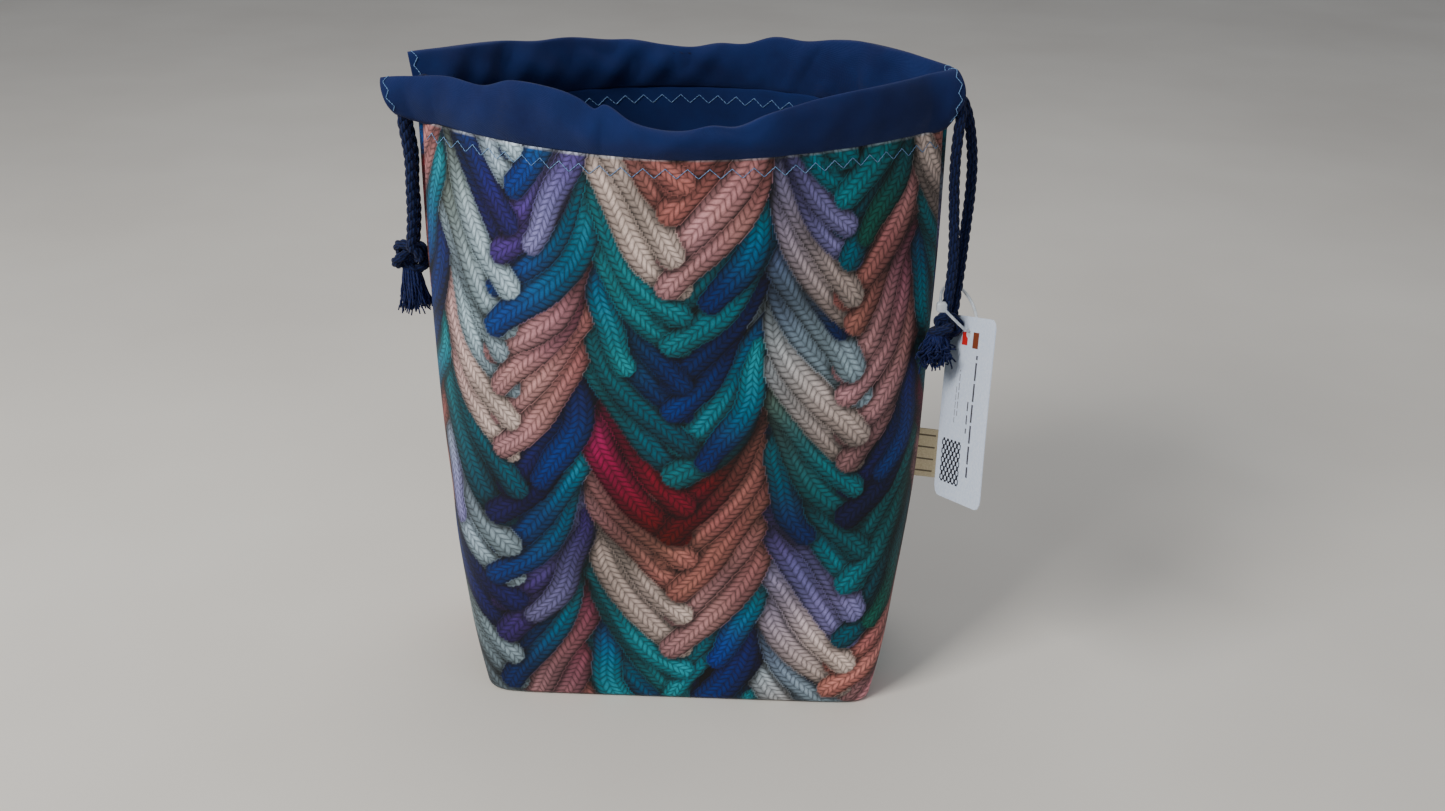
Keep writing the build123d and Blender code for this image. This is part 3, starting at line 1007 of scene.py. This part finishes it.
PULL_TRAVEL = 50.5  # how far the tassels go down as the cords are drawn out
WALL_ROOM = 2.6  # between a yarn's middle and the wall, measured along x


def beside_wall(points):
    """Moves a yarn's points out from the right wall, with room for the cord's whole travel."""
    points = np.array(points)
    for drop in np.linspace(0, PULL_TRAVEL, 6):
        for point in points:
            row = wall[0][int(np.argmin(np.abs(heights - (point[2] - drop))))]
            side = row[row[:, 0] > 40]
            side = side[np.argsort(-side[:, 1])]
            edge = np.interp(-point[1], -side[:, 1], side[:, 0])
            point[0] = max(point[0], edge + WALL_ROOM)
    return points


GOLDEN_ANGLE = 2.39996
YARN_RADIUS = 0.62
TASSELS = {
    # top, length, radii, number of yarns, curl, lean of the bundle, fluffy or not, body
    "left_tassel": ((-132.2, 0, 213.5), 23, 4.4, 7.6, 110, 0.8, (0.05, -0.03), False,
                    "left_pull"),
    "right_tassel": ((122.6, -26, 192), 15, 4.5, 9.5, 210, 1.9, (-0.2, -0.1), True,
                     "right_pull"),
}
tassels = {}
for number, (name, spec) in enumerate(TASSELS.items()):
    top, length, r0, r1, count, curl, lean, fluffy, body = spec
    tubes = Tubes()
    for k in range(count):
        reach = sqrt((k + 0.5) / count)
        round_ = np.array((cos(k * GOLDEN_ANGLE), sin(k * GOLDEN_ANGLE)))
        start = np.array(top) + (*(r0 * 0.85 * reach * round_), rng.uniform(0, 1.5))
        cut = length * rng.uniform(0.72, 1)
        drop = cut * (sqrt(1 - 0.75 * reach**2) if fluffy else 1)
        spread = r1 * reach ** 0.7 * round_ + np.array(lean) * cut
        way = np.array(top) + (*spread, -drop) - start
        points = yarn(start, unit(way), np.linalg.norm(way), curl, 1000 * number + k)
        if fluffy:
            points = beside_wall(points)
        tubes.add(points, YARN_RADIUS * np.linspace(1, 0.6, len(points)), 5)
    tassels[name] = tubes.object(name + "_yarns", YARN)
    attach(tassels[name], body)
    stands_for(name)

# ---- side label: a tape folded in two, out from the seam along its front leaf and home again
low, high = (level_at(z)[0] + 0.05 for z in (104, 131))
corners = np.array([(low - 0.6, 104), (low + 14, 102.5), (high + 12.5, 130),
                    (high - 0.6, 131)])
N_ACROSS, N_UP = 14, 26
out = np.linspace(0, 1, N_ACROSS + 1)
leaf = np.repeat((-1, 1), (N_ACROSS + 1, N_ACROSS))
b, a = np.meshgrid(np.linspace(0, 1, N_UP + 1), np.append(out, out[-2::-1]), indexing="ij")
inner, far = (np.outer(1 - b, corners[k]) + np.outer(b, corners[3 - k]) for k in (0, 1))
place = inner * (1 - a.ravel())[:, None] + far * a.ravel()[:, None]
y = leaf * 0.42 * np.sqrt(1 - a**6) - 0.6 * a * a + 0.25 * np.sin(3 * b + 2 * a)
faces = grid_faces(*a.shape)
uvs = np.stack([a, b], axis=-1).reshape(-1, 2)[faces.ravel()]
label = make_mesh("side_label_tape", np.insert(place, 1, y.ravel(), axis=1), faces, LABEL, uvs=uvs)
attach(label, "root")
stands_for("side_label")

# ---- hang tag and its fastener
hole = np.array((137.2, -29.2, 195.1))
card_across = unit(np.array((0.2725, -0.9137, 0.302)))
card_normal = np.array((-0.9604, -0.2386, 0.1448))
card_normal = unit(card_normal - card_across * np.dot(card_normal, card_across))
card_up = np.cross(card_normal, card_across)
CARD_W, CARD_H, CARD_T, CORNER, HOLE_R = 51, 89, 0.45, 5, 2.2
HOLE_LEFT, HOLE_TOP = 23, 8.0


def card_outline(per_corner=8):
    points = []
    for cx, cy, begin in ((CARD_W - CORNER, CORNER, -pi / 2), (CARD_W - CORNER, CARD_H - CORNER, 0),
                          (CORNER, CARD_H - CORNER, pi / 2), (CORNER, CORNER, pi)):
        for k in range(per_corner + 1):
            turn = begin + pi / 2 * k / per_corner
            points.append((cx + CORNER * cos(turn), cy + CORNER * sin(turn)))
    return evenly(np.array(points + points[:1]), 97)[:-1]


edge = card_outline()
centre = np.array((HOLE_LEFT, CARD_H - HOLE_TOP))
turns = np.unwrap(np.arctan2(*(edge - centre).T[::-1]))
rim = centre + HOLE_R * np.stack([np.cos(turns), np.sin(turns)], axis=1)
rings = np.array([rim + (edge - rim) * t for t in (0, 0.03, 0.1, 0.25, 0.45, 0.7, 0.93, 1)])
n = len(edge)
flat = rings.reshape(-1, 2)
bow = 0.45 * ((flat[:, 1] / CARD_H - 0.5) ** 2 * 4 - 0.5)
spot = (flat - centre) @ np.stack([card_across, card_up]) + hole
verts = np.concatenate([spot + np.outer(face * CARD_T / 2 - bow, card_normal) for face in (1, -1)])
row, col = quad_corners(len(rings), n)
printed = (row * n + col % n)[:, [0, 3, 2, 1]]
a = np.arange(n)
hole_edge = np.stack([a, (a + 1) % n, (a + 1) % n + len(flat), a + len(flat)], axis=1)
card_edge = hole_edge[:, ::-1] + len(flat) - n
faces = np.concatenate([printed, len(flat) + printed[:, ::-1], hole_edge, card_edge])
uvs = (flat / (CARD_W, CARD_H))[faces.ravel() % len(flat)]
card = make_mesh("hang_tag_card", verts, faces, CARD, smooth=False, uvs=uvs)
card.data.materials.append(CARD_BACK)
plain = len(faces) - len(printed)
card.data.polygons.foreach_set("material_index", [0] * len(printed) + [1] * plain)
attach(card, "tag")
stands_for("hang_tag")

head = (123.6, -31, 208.5)
strap_route = [
    head, (130.6, -33.2, 202), tuple(hole), (141.8, -26, 196), (141.6, -16, 203),
    (136, -6.6, 210), (128.4, -7.6, 212), (123.6, -17, 210.6),
    (head[0] - 0.8, head[1] + 1, head[2] + 1),
]
tubes = Tubes()
tubes.add(evenly(nurbs_points("strap_line", strap_route), 90), 0.72, 8)
fastener = tubes.object("tag_fastener_loop", NYLON)
# the head: a block with bevelled corners and ends. Its outline in x and z, then its levels from
# front to back, each with its y and its share of the outline
HEAD = [(-2.9, 2), (-2.9, -2), (-2, -2.9), (2, -2.9), (2.9, -2), (2.9, 2), (2, 2.9),
        (-2, 2.9)]
HEAD_LEVELS = ((-1.7, 0.75), (-1.3, 0.95), (0.9, 0.95), (1.4, 0.7))
head_verts = [(head[0] - 0.6 + x * k * 0.86, head[1] + 0.2 + y, head[2] + 0.4 + z * k * 0.86)
              for y, k in HEAD_LEVELS for x, z in HEAD]
row, col = quad_corners(len(HEAD_LEVELS), 8)
head_faces = (row * 8 + col % 8).tolist() + [range(7, -1, -1), range(24, 32)]
block = make_mesh("tag_fastener_head", head_verts, head_faces, NYLON, smooth=False)
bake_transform(fastener)
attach(block, "right_pull")
stands_for("tag_fastener")

# ---- each tail's side, read from its name
for name, (route, length) in TAILS.items():
    side = name.split("_")[0]


# ---- stitches
def stitch_row(name, places, out, up, pitch, width, sub=3, radius=0.16):
    """Thread in a zigzag whose legs are each made of several short stitches."""
    s = arc_lengths(places)
    count = int(s[-1] / (pitch / (2 * sub)))
    points, o, w = (read_at(np.linspace(0, s[-1], count), s, rows) for rows in (places, out, up))
    phase = (np.arange(count) / (2 * sub)) % 1.0
    points = points + w * ((1 - 4 * np.abs(phase - 0.5)) * width / 2)[:, None]
    t = np.linspace(0.02, 0.98, 5)[:, None]
    tubes = Tubes()
    for k in range(count - 1):
        n = (o[k] + o[k + 1]) / 2
        line = points[k] + (points[k + 1] - points[k]) * t + n * (0.32 * np.sin(pi * t) - 0.05)
        tubes.add(line, radius, 5)
    return tubes.object(name, THREAD)


STITCH_ROW = len(BASE_STEPS) + int(np.argmin(np.abs(heights - 281.3)))
for half, word in enumerate(WORDS):
    for side, inset, layer in ((1, 0, "outer"), (-1, LINING_INSET, "inner")):
        row = body_grid(half, inset)[STITCH_ROW][6:-6]
        out = np.insert(wall_normals[half][-5], 2, 0, axis=1)[6:-6] * side
        thread = stitch_row(f"{layer}_{word}_rim_stitches", row + out * 0.1, out,
                            np.tile((0, 0, 1), (len(row), 1)), 9.5, 4.2)
        bend_with_mouth(thread)
    grid = casing_grids[half]
    for end, column in (("first", 3), ("last", grid.shape[1] - 4)):
        path = evenly(grid[2:33, column], 80)
        forward = evenly(unit(grid[2:33, column + 3] - grid[2:33, column - 3]), 80)
        out = unit(np.cross(forward, np.gradient(path, axis=0)))
        thread = stitch_row(f"{word}_casing_{end}_hem_stitches", path + out * 0.15, out, forward,
                            7, 2.4)
        bend_slice(thread, half, 1 if path[0, 0] > 0 else -1, CUTS[-2], CUTS[-1])

# ---- floor and light
s = Shader("floor", 0.7, Specular_IOR_Level=0.2)
floor_material = s.colour(s.ramp(s.noise(s.coordinates(), 3, 3), "CFC9C0", "D9D4CB"))
FLOOR = 3000.0  # half its side
floor = make_mesh("floor", [(-FLOOR, -FLOOR, -0.3), (FLOOR, -FLOOR, -0.3), (FLOOR, FLOOR, -0.3),
                            (-FLOOR, FLOOR, -0.3)], [(0, 1, 2, 3)], floor_material, smooth=False)
floor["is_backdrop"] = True

world = bpy.data.worlds.new("studio")
world.use_nodes = True
background = world.node_tree.nodes["Background"].inputs
background["Color"].default_value = (0.75, 0.79, 0.86, 1)
background["Strength"].default_value = 0.38
bpy.context.scene.world = world


def area_light(name, place, target, size, power, colour):
    data = bpy.data.lights.new(name, "AREA")
    data.shape = "SQUARE"
    data.size = size
    data.energy = power
    data.color = colour
    light = link(bpy.data.objects.new(name, data))
    light.location = place
    light.rotation_euler = (Vector(target) - Vector(place)).to_track_quat("-Z", "Y").to_euler()


area_light("key", (-0.92, -0.82, 1.2), (0, 0, 0.15), 0.6, 27, (1, 0.99, 0.97))
area_light("fill", (0.95, -0.9, 0.8), (0, 0, 0.15), 0.8, 1.2, (0.95, 0.97, 1))
area_light("top", (0.1, 0.5, 1.4), (0, 0, 0.2), 0.9, 6, (0.97, 0.98, 1))

low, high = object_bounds()
